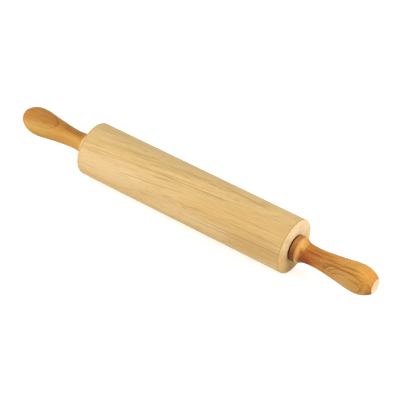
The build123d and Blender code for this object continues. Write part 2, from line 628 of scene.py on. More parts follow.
class WoodRecipe(Recipe):
    """The node tree of one wood, in which each mark is laid over the colour so far."""

    def __init__(self, wood: Timber) -> None:
        """Finds what the marks share: the fibres, the flecks, the rings and the cut ends.

        Args:
            wood: The wood.
        """
        super().__init__(bpy.data.materials.new(wood.name))
        self.wood = wood
        self.along_seed = (wood.seed, 0.0, 0.0)
        self.back_seed = (0.0, wood.seed, 0.0)
        self.up_seed = (0.0, 0.0, wood.seed)
        self.place = self.point()
        x, y, z = self.place
        self.spot = (x, y - x * wood.grain.drift_y, z - x * wood.grain.drift_z)
        self.fibre = self.noise(FIBRES, self.spot, self.along_seed)
        self.flecks = self.marks(FLECKS, self.spot, self.up_seed)
        self.late, self.ring_tone = self._yearly_rings()
        self.end = self.step(self.endwise(), *END_FACING)
        self.colour: Feed = wood.tones.early

    def lay(self, amount: Term, tone: Feed) -> None:
        """Lays a tone over the colour so far."""
        self.colour = self.mix(amount, self.colour, tone)

    def build(self) -> Material:
        """Lays all the marks and ends the recipe.

        Returns:
            The material.
        """
        wood = self.wood
        self._long_grain()
        if wood.patches:
            self._patches()
        self.lay(self.end * wood.end_strength, self._end_grain())
        light = varied(1.0, self.fibre, 2.0 * wood.grain.fibre)
        light = light + (self.ring_tone - MEAN) * wood.rings.tone_spread
        self.colour = self.scaled(self.colour, light)
        if wood.stain:
            self._stain(wood.stain)
        if wood.arris_place:
            self._arris()
        if wood.hub_radius:
            self._hub_shade()

        tool_marks = self.noise(TOOL_MARKS, self.spot) * wood.turning_marks
        height = self.fibre * FIBRE_RELIEF + self.late * LATE_RELIEF - self.flecks * FLECK_RELIEF
        roughness = varied(wood.roughness, self.fibre, FIBRE_ROUGHNESS)
        return self.finish(
            self.colour,
            roughness + self.end * END_ROUGHNESS + self.late * LATE_ROUGHNESS,
            height + tool_marks,
            depth=0.12 * MM,
            strength=wood.relief,
            fixed={
                "Specular IOR Level": wood.shine,
                "Coat Weight": wood.coat,
                "Coat Roughness": 0.25,
            },
        )

    def _yearly_rings(self) -> Tuple[Value, Value]:
        """Where the late wood of the yearly rings lies.

        Returns:
            How far into late wood the point is, and its ring's own tone, both 0 to 1.
        """
        rings = self.wood.rings
        towards, across = turned(self.spot, rings.angle)
        bend = self.noise(RING_BEND, (self.spot[0], towards, across), self.along_seed)
        ripple = self.noise(RING_RIPPLE, (self.spot[0], towards, across), self.back_seed)
        depth = (
            towards
            + across * across / (2.0 * rings.pith_distance)
            + (bend - MEAN) * rings.wander
            + (ripple - MEAN) * (rings.width * rings.ripple)
            + rings.shift
        )
        change = Weave(along=RING_CHANGE / rings.width, across=0.0, detail=1.0)
        uneven = self.noise(change, (depth, 0.0, 0.0), self.back_seed)
        count = depth / rings.width + (uneven - MEAN) * RING_SPREAD + RINGS_BELOW
        whole = self.value(self.node("ShaderNodeMath", {"operation": "FLOOR"}, {0: count}))
        tone = self.node("ShaderNodeTexWhiteNoise", {"noise_dimensions": "1D"}, {"W": whole})
        return self.curve(count - whole, RING_PROFILE), self.value(tone)

    def _long_grain(self) -> None:
        """Lays the bands, rings, streaks, lines and flecks that run along the grain."""
        grain, tones = self.wood.grain, self.wood.tones
        broad = Weave(along=0.004, across=1.0 / grain.band_width, start=0.42, full=0.62)
        narrow = Weave(along=0.011, across=1.0 / grain.streak_width, detail=3.0, roughness=0.6)
        apart = Weave(along=0.0045, across=1.0 / grain.line_gap, detail=1.5, roughness=0.45)
        bands = self.marks(broad, self.spot, self.up_seed)
        streak = self.noise(narrow, self.spot, self.back_seed)
        fading = self.noise(FADING, self.spot, self.along_seed)
        level = self.noise(apart, self.spot, self.up_seed)
        line = self.step(abs(level - MEAN), *LINE_EDGE) * self.step(fading, *LINE_FADE)
        rings = self.late * (FAINTEST_RING + RING_DIFFERENCE * self.ring_tone)
        rings = rings * self.step(fading, *RING_FADE)
        pale = self.step(streak, *PALE_STREAK) * PALE_STREAK_SHARE

        self.lay(bands * grain.bands, tones.band)
        self.lay(rings * self.wood.rings.strength, tones.late)
        self.lay(self.step(streak, *DARK_STREAK) * grain.streaks, tones.late)
        self.lay(pale * grain.streaks, tones.glow)
        self.lay(line * grain.lines, tones.late)
        self.lay(self.flecks * grain.flecks, tones.late)

    def _patches(self) -> None:
        """Lays the patches."""
        torn = self.noise(TEARING, self.spot, self.up_seed) - MEAN
        for patch in self.wood.patches:
            near, side = turned(self.place, patch.turn)
            along = self.place[0] - patch.place
            side = (side - along * patch.slant) / patch.width
            along = along / patch.length
            away = along * along + side * side + torn * patch.ragged
            facing = self.step(near, *PATCH_FACING)
            inside = self.step(away, 1.0 + patch.soft, 1.0 - patch.soft) * facing
            self.lay(inside * patch.strength, patch.tone)
            if patch.rim:
                edge = self.step(abs(away - 1.0), *PATCH_RIM) * facing
                if patch.open_end:
                    edge = edge * self.step(along * patch.open_end, *OPEN_END_FADE)
                self.lay(edge * patch.rim, self.wood.tones.late)

    def _end_grain(self) -> NodeSocket:
        """The wood's colour where it is cut across.

        Returns:
            The colour.
        """
        tones = self.wood.tones
        _, y, z = self.place
        towards, across = turned(self.place, self.wood.rings.angle)
        cloud = self.noise(END_CLOUD, (y, z, 0.0), self.back_seed)
        rays = self.marks(RAYS, (towards, across, 0.0), self.up_seed)
        pores = self.marks(END_PORES, (y, z, 0.0), self.up_seed)
        rings = self.late * (self.wood.rings.strength * END_RING_SHARE)
        # painted shade as well as cloudy tone: darker away from the rings' direction, towards the
        # bottom of the barrel's end faces
        tone = self.step(cloud - towards * END_SHADE_SLOPE, *END_TONE)
        colour = self.mix(tone, tones.end, tones.end_late)
        colour = self.mix(rings, colour, tones.end_late)
        colour = self.mix(rays * RAY_STRENGTH, colour, tones.glow)
        return self.mix(pores * PORE_STRENGTH, colour, tones.late)

    def _stain(self, stain: Stain) -> None:
        """Lays the stain.

        Args:
            stain: The stain.
        """
        share = (abs(self.place[0]) - stain.start) / stain.length
        cloud = self.noise(STAIN_CLOUD, self.spot, self.up_seed)
        tint = self.ramp(share + (cloud - MEAN) * stain.cloud, stain.stops)
        self.colour = self.mix(1.0, self.colour, tint, "MULTIPLY")

    def _arris(self) -> None:
        """Lays a painted highlight over the eased arris of each end and a thin dark line round it."""
        past = abs(self.place[0]) - self.wood.arris_place
        past = past + (self.fibre - MEAN) * ARRIS_WANDER
        # painted highlight: the rounded arris is lightened where it catches the light
        rim = self.step(past, *ARRIS_HIGHLIGHT) * (1.0 - self.end)
        self.lay(rim * ARRIS_HIGHLIGHT_STRENGTH, self.wood.tones.glow)
        self.lay(self.step(abs(past), *ARRIS_LINE) * ARRIS_LINE_STRENGTH, self.wood.tones.late)

    def _hub_shade(self) -> None:
        """Lays a painted shade ring round the hub of each end face, for the shaded gap beside the
        collar.
        """
        _, y, z = self.place
        outer, inner = ((self.wood.hub_radius + reach) ** 2 for reach in HUB_SHADE)
        # painted shade: darkens the end face just round the collar, where the gap lies in shade
        ring = self.step(y * y + z * z, outer, inner) * self.end
        self.lay(ring * HUB_SHADE_STRENGTH, self.wood.tones.late)


# Marks of each kind of metal work, and the tarnish over them
METAL_MARKS = {
    MetalWork.TURNED: Weave(6.0, 0.12, 3.0, 0.6),
    MetalWork.DRAWN: Weave(0.05, 5.0, 3.0, 0.6),
    MetalWork.GROUND: Weave(7.0, 7.0, 4.0, 0.7),
}
TARNISH = Weave(0.25, 0.3, 3.0, 0.6, start=0.5, full=0.72)


@dataclass(frozen=True)
class Metal(Finish):
    """A metal surface with the marks of how it was worked.

    Where it has a thread, this starts thread_from millimetres from the pin's middle and
    reaches its full depth over thread_run_in.
    """

    name: str
    colour: Colour
    work: MetalWork
    roughness: float
    tarnish: Colour
    tarnish_amount: float = 0.25
    tarnish_roughness: float = 0.12
    marks_roughness: float = 0.2
    marks_light: float = 0.12
    marks_height: float = 0.4
    thread_pitch: float = 0.0
    thread_from: float = 0.0
    thread_run_in: float = 1.0
    thread_height: float = 2.0

    def make(self) -> Material:
        """Builds the metal.

        Returns:
            The material.
        """
        recipe = Recipe(bpy.data.materials.new(self.name))
        place = recipe.point()
        marks = recipe.noise(METAL_MARKS[self.work], place)
        dull = recipe.marks(TARNISH, place)
        colour = recipe.mix(dull * self.tarnish_amount, self.colour, self.tarnish)
        height = marks * self.marks_height
        if self.thread_pitch:
            turn = place[0] * (2.0 * math.pi / self.thread_pitch)
            wave = recipe.value(recipe.node("ShaderNodeMath", {"operation": "SINE"}, {0: turn}))
            full = self.thread_from + self.thread_run_in
            cut = recipe.step(abs(place[0]), self.thread_from, full)
            height = height * (1.0 - cut) + cut * (wave + 1.0) * self.thread_height
        return recipe.finish(
            recipe.scaled(colour, varied(1.0, marks, self.marks_light)),
            varied(self.roughness, marks, self.marks_roughness) + dull * self.tarnish_roughness,
            height,
            depth=0.05 * MM,
            strength=0.35,
            fixed={"Metallic": 1.0},
        )


FELT = Weave(3.0, 3.0, 5.0, 0.75, start=0.5, full=0.75)
FELT_CLOUD = Weave(0.3, 0.3)


@dataclass(frozen=True)
class Fibre(Finish):
    """Pressed brown fibre with lighter tufts."""

    name: str
    colour: Colour
    light: Colour
    tufts: float = 0.5
    cloud: float = 0.4
    roughness: float = 0.8
    felt_roughness: float = 0.2

    def make(self) -> Material:
        """Builds the fibre.

        Returns:
            The material.
        """
        recipe = Recipe(bpy.data.materials.new(self.name))
        place = recipe.point()
        felt = recipe.noise(FELT, place)
        cloud = recipe.noise(FELT_CLOUD, place)
        tufts = recipe.step(felt, FELT.start, FELT.full) * self.tufts
        return recipe.finish(
            recipe.scaled(recipe.mix(tufts, self.colour, self.light), varied(1.0, cloud, self.cloud)),
            varied(self.roughness, felt, self.felt_roughness),
            felt,
            depth=0.08 * MM,
            strength=0.5,
            fixed={"Specular IOR Level": 0.15},
        )


COLLAR_GRAIN = Weave(0.9, 0.8, 3.0, 0.65)
COLLAR_CLOUD = Weave(0.1, 0.11)
COLLAR_PORES = Weave(2.2, 2.2, 2.0, 0.6, start=0.52, full=0.7)


@dataclass(frozen=True)
class EndGrainBand(Finish):
    """The collar's stained wood with open pores: painted light makes it golden above and painted
    shade makes it plum brown below.

    Its light level rises by so much in each millimetre up or back, and the painted light's golden
    tone and the painted shade's plum tone come in between two levels. Its inner corner, beside the
    fibre washer, lies at gap_shade_place and is darkened with painted shade over gap_shade_reach, in
    millimetres.
    """

    name: str
    lit_golden: Colour
    brown: Colour
    shaded_plum: Colour
    # pore: the colour of the pores, and also of the painted shade at the inner corner
    pore: Colour
    gap_shade_place: float
    gap_shade_reach: Pair = (1.3, 0.3)
    gap_shade_strength: float = 0.8
    light_rise_up: float = 0.055
    light_rise_back: float = -0.012
    cloud: float = 0.6
    lit_golden_levels: Pair = (0.4, 1.05)
    shaded_plum_levels: Pair = (0.45, -0.4)
    shaded_plum_strength: float = 0.85
    pore_strength: float = 0.5
    grain_light: float = 1.04
    grain_height: float = 0.6
    pore_depth: float = 0.5
    roughness: float = 0.55
    grain_roughness: float = 0.2

    def make(self) -> Material:
        """Builds the collar's wood.

        Returns:
            The material.
        """
        recipe = Recipe(bpy.data.materials.new(self.name))
        place = recipe.point()
        x, y, z = place
        grain = recipe.noise(COLLAR_GRAIN, place)
        cloud = recipe.noise(COLLAR_CLOUD, place)
        pores = recipe.marks(COLLAR_PORES, place)
        # a painted light level: higher on top and towards the front
        level = z * self.light_rise_up + y * self.light_rise_back + (cloud - MEAN) * self.cloud
        # painted shade: plum brown below
        shaded_plum = recipe.step(level, *self.shaded_plum_levels) * self.shaded_plum_strength
        outer, inner = (self.gap_shade_place + reach for reach in self.gap_shade_reach)
        # painted shade: the inner corner beside the fibre washer is darkened for the shaded gap
        gap_shade = recipe.step(abs(x), outer, inner) * self.gap_shade_strength
        # painted light: golden above
        colour = recipe.mix(recipe.step(level, *self.lit_golden_levels), self.brown, self.lit_golden)
        colour = recipe.mix(shaded_plum, colour, self.shaded_plum)
        colour = recipe.mix(pores * self.pore_strength, colour, self.pore)
        colour = recipe.scaled(colour, varied(1.0, grain, self.grain_light))
        return recipe.finish(
            # painted shade at the inner corner, laid in the pore colour
            recipe.mix(gap_shade, colour, self.pore),
            varied(self.roughness, grain, self.grain_roughness),
            grain * self.grain_height - pores * self.pore_depth,
            depth=0.12 * MM,
            strength=0.45,
            fixed={"Specular IOR Level": 0.25},
        )


# Turned forms


def as_piece(name: str, form: bmesh.types.BMesh) -> Object:
    """Makes a finished form into an object of the scene.

    Args:
        name: The piece's name.
        form: Its form, which is used up.

    Returns:
        The new object.
    """
    mesh = bpy.data.meshes.new(name)
    form.to_mesh(mesh)
    form.free()
    piece = bpy.data.objects.new(name, mesh)
    bpy.context.scene.collection.objects.link(piece)
    return piece


def places_round(x: float, radius: float, count: int) -> List[Triple]:
    """Lays out even places round the pin's axis, the first one straight behind it.

    Args:
        x: Their place along the pin.
        radius: How far they lie from the axis.
        count: How many there are.

    Returns:
        The places.
    """
    turns = [2.0 * math.pi * number / count for number in range(count)]
    return [(x, radius * math.cos(turn), AXIS_HEIGHT + radius * math.sin(turn)) for turn in turns]


@dataclass(frozen=True)
class Station:
    """One ring of a turned form: its place along the pin, its radius, and if it is a crisp edge."""

    x: float
    radius: float
    crisp: bool = False


@dataclass(frozen=True)
class Turning:
    """A form turned about the pin's axis, from the stations of its outline in order.

    A solid form's outline starts and ends on the axis, and a bored one's closes on itself.
    """

    name: str
    stations: Sequence[Station]
    segments: int

    def build(self) -> Object:
        """Turns the outline into a mesh.

        Returns:
            The new object.
        """
        form = bmesh.new()
        rings: List[List[bmesh.types.BMVert]] = []
        for station in self.stations:
            count = self.segments if station.radius > 0.0 else 1
            ring = [form.verts.new(spot) for spot in places_round(station.x, station.radius, count)]
            rings.append(ring * (self.segments // count))
        pairs = list(zip(rings, rings[1:]))
        if self.stations[0].radius > 0.0:
            pairs.append((rings[-1], rings[0]))
        for near, far in pairs:
            for number in range(self.segments):
                after = (number + 1) % self.segments
                corners = (near[after], near[number], far[number], far[after])
                form.faces.new(tuple(dict.fromkeys(corners)))
        bmesh.ops.recalc_face_normals(form, faces=form.faces[:])
        for face in form.faces:
            face.smooth = True
        for station, ring in zip(self.stations, rings):
            if station.crisp:
                for ends in zip(ring, ring[1:] + ring[:1]):
                    form.edges.get(ends).smooth = False
        return as_piece(self.name, form)


def rounded(corner: Pair, before: Pair, after: Pair, size: float, steps: int) -> List[Station]:
    """Eases a corner of an outline with a small curve.

    Args:
        corner: The corner's x and radius.
        before: A point on the way in.
        after: A point on the way out.
        size: How far from the corner the curve starts and ends.
        steps: How many pieces the curve has.

    Returns:
        The stations that take the corner's place.
    """
    here = np.array(corner)
    start = np.array(before) - here
    finish = np.array(after) - here
    start = here + start / np.linalg.norm(start) * size
    finish = here + finish / np.linalg.norm(finish) * size
    stations = []
    for number in range(steps + 1):
        share = number / steps
        spot = (1 - share) ** 2 * start + 2 * share * (1 - share) * here + share ** 2 * finish
        stations.append(Station(float(spot[0]), float(spot[1])))
    return stations


def smooth_through(places: np.ndarray, radii: np.ndarray, count: int) -> List[Pair]:
    """Draws a smooth line through points of an outline.

    Args:
        places: Places along the pin, rising.
        radii: The radius at each.
        count: How many points the line is given back as.

    Returns:
        Pairs of place and radius, evenly spaced.
    """
    slopes = np.gradient(radii, places)
    spots = np.linspace(places[0], places[-1], count)
    number = np.clip(np.searchsorted(places, spots) - 1, 0, len(places) - 2)
    width = places[number + 1] - places[number]
    share = (spots - places[number]) / width
    line = (
        (2 * share ** 3 - 3 * share ** 2 + 1) * radii[number]
        + (share ** 3 - 2 * share ** 2 + share) * width * slopes[number]
        + (3 * share ** 2 - 2 * share ** 3) * radii[number + 1]
        + (share ** 3 - share ** 2) * width * slopes[number + 1]
    )
    return list(zip(spots.tolist(), line.tolist()))


def node_radius(node: str) -> float:
    """The outer radius of a round node, from its box."""
    low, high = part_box(node)
    return (high.y - low.y) / 2


def dress(node: str, material: Material) -> None:
    """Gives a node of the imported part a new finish.

    Args:
        node: The node's name.
        material: What it is finished with.
    """
    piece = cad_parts[node]
    if not piece.material_slots:
        piece.data.materials.append(material)
    for slot in piece.material_slots:
        slot.material = material
    log.info("dressed %s in %s", node, material.name)


def settle(piece: Object, body: str, node: str, material: Material) -> None:
    """Puts a new piece in a node's place.

    Args:
        piece: The new piece.
        body: The body that it moves with.
        node: The node that it stands for.
        material: What it is finished with.
    """
    piece.data.materials.append(material)
    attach(piece, body)
    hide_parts(node)
    log.info("made %s in place of %s, %d faces", piece.name, node, len(piece.data.polygons))


# Woods. A patch's numbers are its place, turn, half length, half width and strength, and a
# streak's its slant as well.


def barrel_maple() -> Timber:
    """The barrel's maple, with the khaki and cream patches and thin dark streaks it has.

    Returns:
        The finish.
    """
    khaki = linear(198, 168, 106)
    cream = linear(240, 207, 158)
    streak = linear(164, 118, 62)
    tan = linear(204, 159, 92)
    streaks = (
        (-35.0, 120.0, 112.0, 0.5, 0.5, -0.066),
        (-48.0, 145.5, 40.0, 0.5, 0.5, -0.107),
        (-12.0, 91.5, 44.0, 0.5, 0.5, -0.136),
        (92.0, 164.0, 62.0, 0.5, 0.5, -0.038),
        (114.0, 146.0, 38.0, 0.5, 0.45, -0.012),
        (60.0, 300.0, 70.0, 0.5, 0.5, 0.06),
        (62.0, 174.0, 46.0, 0.5, 0.45, -0.05),
        (104.0, 128.0, 44.0, 0.5, 0.4, -0.03),
        (-60.0, 232.0, 84.0, 0.6, 0.45, 0.03),
    )
    return Timber(
        name="maple",
        tones=Tones(
            early=linear(228, 192, 131),
            late=linear(186, 144, 80),
            band=linear(214, 177, 111),
            glow=linear(240, 206, 148),
            end=linear(250, 224, 180),
            end_late=linear(220, 182, 118),
        ),
        rings=Rings(
            angle=64.0, width=3.6, pith_distance=80.0, strength=0.28, wander=4.0, ripple=0.2
        ),
        grain=Grain(
            drift_y=0.075,
            drift_z=0.05,
            bands=0.35,
            band_width=10.0,
            streaks=0.38,
            streak_width=0.9,
            lines=0.5,
            line_gap=5.0,
            flecks=0.45,
            fibre=0.13,
        ),
        patches=(
            Patch(khaki, -45.0, 98.0, 90.0, 5.0, 0.36, slant=-0.1),
            Patch(linear(210, 186, 132), 10.0, 66.0, 160.0, 10.0, 0.4, slant=-0.04),
            Patch(cream, -108.0, 162.0, 58.0, 16.0, 0.4, slant=-0.09),
            Patch(cream, 10.0, 182.0, 70.0, 8.0, 0.3, slant=-0.06),
            Patch(tan, 118.0, 172.0, 42.0, 12.0, 0.5, slant=-0.05),
            Patch(linear(218, 174, 104), 90.0, 135.0, 75.0, 14.0, 0.5, slant=-0.08),
            Patch(tan, 30.0, 268.0, 90.0, 9.0, 0.5, slant=0.05),
            Patch(khaki, -70.0, 330.0, 70.0, 6.0, 0.4, slant=0.06),
            Patch(cream, 70.0, 20.0, 80.0, 12.0, 0.4, slant=0.04),
            *(Patch(streak, *row, ragged=2.2) for row in streaks),
            Patch(linear(198, 146, 88), 76.0, 81.0, 38.0, 2.0, 0.6, slant=0.02, ragged=1.6),
        ),
        end_strength=0.9,
        arris_place=150.7,
        # the hub's painted shade ring lies just outside this radius
        hub_radius=16.0,
        roughness=0.6,
        shine=0.22,
        relief=0.35,
        turning_marks=0.08,
        seed=4.0,
    )


def handle_stain(side: Side) -> Stain:
    """The stain of one handle, from its foot to its end, nearly clear over the bead as painted light.

    Args:
        side: The end of the pin that the handle is for.

    Returns:
        The stain.
    """
    neck = linear(236, 205, 158) if side is Side.RIGHT else linear(247, 233, 203)
    bulb = linear(252, 246, 222) if side is Side.RIGHT else linear(245, 241, 222)
    return Stain(
        stops=(
            # painted light: the first stops leave the bead and the start of the cove pale, where they
            # catch the light
            (0.0, linear(255, 252, 236)),
            (0.045, linear(255, 250, 226)),
            (0.1, neck),
            (0.22, neck),
            (0.42, linear(240, 222, 186)),
            (0.7, bulb),
            (0.9, linear(255, 246, 214)),
            (1.0, linear(246, 226, 180)),
        ),
        start=160.1,
        length=103.6,
    )


def handle_wood(side: Side) -> Timber:
    """One handle's stained wood; each handle is turned from its own blank.

    Args:
        side: The end of the pin that the handle is for.

    Returns:
        The finish.
    """
    # dark: the colour of the thin dark streaks, and also of the painted shade patches
    dark = linear(146, 86, 38)
    red = linear(142, 62, 34)
    # gold: the colour of the painted highlights along the top of the grip and the bulb
    gold = linear(240, 176, 90)
    # cream: the colour of the painted highlights on the beads
    cream = linear(246, 216, 172)
    if side is Side.RIGHT:
        seed = 1.7
        rings = Rings(angle=167.2, width=3.0, pith_distance=38.0, strength=0.8, wander=4.0)
        grain = Grain(
            band_width=8.0, streaks=0.45, streak_width=1.3, lines=0.5, line_gap=4.0, flecks=0.4
        )
        flame = {"ragged": 0.3, "soft": 0.3, "rim": 0.5}
        heart = {"ragged": 0.35, "soft": 0.3, "rim": 0.6}
        patches = (
            Patch(linear(204, 150, 80), 235.5, 176.0, 28.0, 12.6, 0.4, **flame),
            Patch(linear(214, 168, 100), 233.0, 176.0, 20.0, 7.6, 0.6, **heart),
            Patch(dark, 228.0, 113.0, 32.0, 0.9, 0.5, slant=-0.03, ragged=1.8),
            Patch(dark, 193.0, 92.0, 13.0, 1.6, 0.6, slant=-0.04),
            Patch(dark, 226.0, 131.0, 36.0, 1.0, 0.6, slant=-0.06, ragged=2.0),
            Patch(red, 172.5, 190.0, 10.0, 6.5, 0.7),
            Patch(linear(176, 84, 46), 177.0, 160.0, 16.0, 8.0, 0.45, soft=0.95),
            # painted highlight on the top of the cove
            Patch(linear(250, 202, 124), 167.0, 95.0, 4.0, 7.0, 0.6, ragged=1.5),
            Patch(linear(224, 174, 112), 212.0, 190.0, 24.0, 5.0, 0.5),
            # painted highlights along the top of the bulb and the grip
            Patch(gold, 254.0, 88.0, 14.0, 12.0, 0.45),
            Patch(gold, 210.0, 66.0, 36.0, 7.0, 0.4),
            # painted shade under the bulb's end, beside the plug
            Patch(dark, 261.5, 206.0, 3.0, 5.0, 0.5),
            # painted highlights round the bead, which catches the light
            Patch(cream, 161.8, 220.0, 2.6, 9.0, 0.8, ragged=0.4),
            Patch(linear(240, 178, 112), 162.4, 125.0, 3.4, 17.0, 0.7, ragged=0.8),
        )
    else:
        seed = 6.3
        rings = Rings(
            angle=99.8, width=3.4, pith_distance=38.0, strength=0.25, shift=1.2, wander=4.0
        )
        grain = Grain(
            band_width=9.0, streaks=0.28, streak_width=1.6, lines=0.25, line_gap=5.0, flecks=0.35
        )
        flame = {"ragged": 0.35, "soft": 0.35, "rim": 0.7, "open_end": -1}
        patches = (
            Patch(linear(178, 118, 52), -239.0, 107.0, 30.0, 12.5, 0.55, **flame),
            Patch(linear(222, 178, 96), -200.0, 162.0, 50.0, 9.0, 0.6),
            # painted shade along the top of the neck
            Patch(dark, -186.0, 80.0, 34.0, 6.0, 0.25, slant=0.05, soft=0.95),
            Patch(red, -214.0, 262.0, 24.0, 5.0, 0.35),
            # painted highlight round the bead
            Patch(cream, -162.2, 130.0, 2.6, 24.0, 0.95, ragged=0.3),
        )
    return Timber(
        name=f"stained_{side.prefix}",
        tones=Tones(
            early=linear(216, 164, 82),
            late=linear(152, 90, 36),
            band=linear(198, 139, 60),
            glow=linear(232, 186, 104),
            end=linear(212, 154, 78),
            end_late=linear(168, 108, 48),
        ),
        rings=rings,
        grain=grain,
        stain=handle_stain(side),
        patches=patches,
        roughness=0.46,
        shine=0.2,
        coat=0.04,
        relief=0.3,
        turning_marks=0.12,
        seed=seed,
    )


def plug_maple() -> Timber:
    """The pale wood of the end plugs.

    Returns:
        The finish.
    """
    return Timber(
        name="plug_maple",
        tones=Tones(
            early=linear(240, 210, 168),
            late=linear(214, 172, 122),
            band=linear(234, 198, 150),
            glow=linear(246, 220, 182),
            end=linear(251, 222, 188),
            end_late=linear(236, 200, 158),
        ),
        rings=Rings(angle=20.0, width=1.7, pith_distance=45.0, strength=0.3),
        end_strength=0.8,
        roughness=0.55,
        shine=0.35,
        relief=0.3,
        seed=9.0,
    )


# Sub-assemblies


@dataclass
class Barrel:
    """The maple barrel, with eased ends and a seat for a bearing in each."""

    edge_round: float = 1.8 * MM
    edge_steps: int = 8
    face_margin: float = 6.0 * MM
    seat_margin: float = 3.0 * MM
    seat_clearance: float = 0.02 * MM
    bore_room: float = 0.85 * MM
    mouth_ease: float = 0.3 * MM
    mouth_steps: int = 4
    segments: int = 256
    stations_along: int = 40
    wood: Timber = field(default_factory=barrel_maple)

    def outline(self) -> List[Station]:
        """The barrel's outline, outside and inside.

        Returns:
            Its stations, from the middle over the right-hand end and through the bore to the
            left-hand one.
        """
        radius = node_radius("roller")
        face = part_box("roller")[1].x
        seat = node_radius("right_outer_race") + self.seat_clearance
        bore = node_radius("spacer_tube") + self.bore_room
        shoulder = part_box("right_outer_race")[0].x
        straight = np.linspace(0, face - self.edge_round, self.stations_along)
        right = [Station(x, radius) for x in straight]
        for number in range(1, self.edge_steps + 1):
            turn = math.pi / 2 * number / self.edge_steps
            right.append(
                Station(
                    face - self.edge_round * (1 - math.sin(turn)),
                    radius - self.edge_round * (1 - math.cos(turn)),
                )
            )
        right.append(Station(face, radius - self.edge_round - self.face_margin))
        right.append(Station(face, seat + self.seat_margin))
        right += rounded(
            (face, seat), (face, seat + MM), (shoulder, seat), self.mouth_ease, self.mouth_steps
        )
        right += [Station(shoulder, seat, True), Station(shoulder, bore, True), Station(0.0, bore)]
        left = [replace(station, x=-station.x) for station in reversed(right[1:-1])]
        return right + left

    def build(self) -> None:
        """Builds the barrel."""
        piece = Turning("maple_barrel", self.outline(), self.segments).build()
        settle(piece, "roller", "roller", self.wood.make())


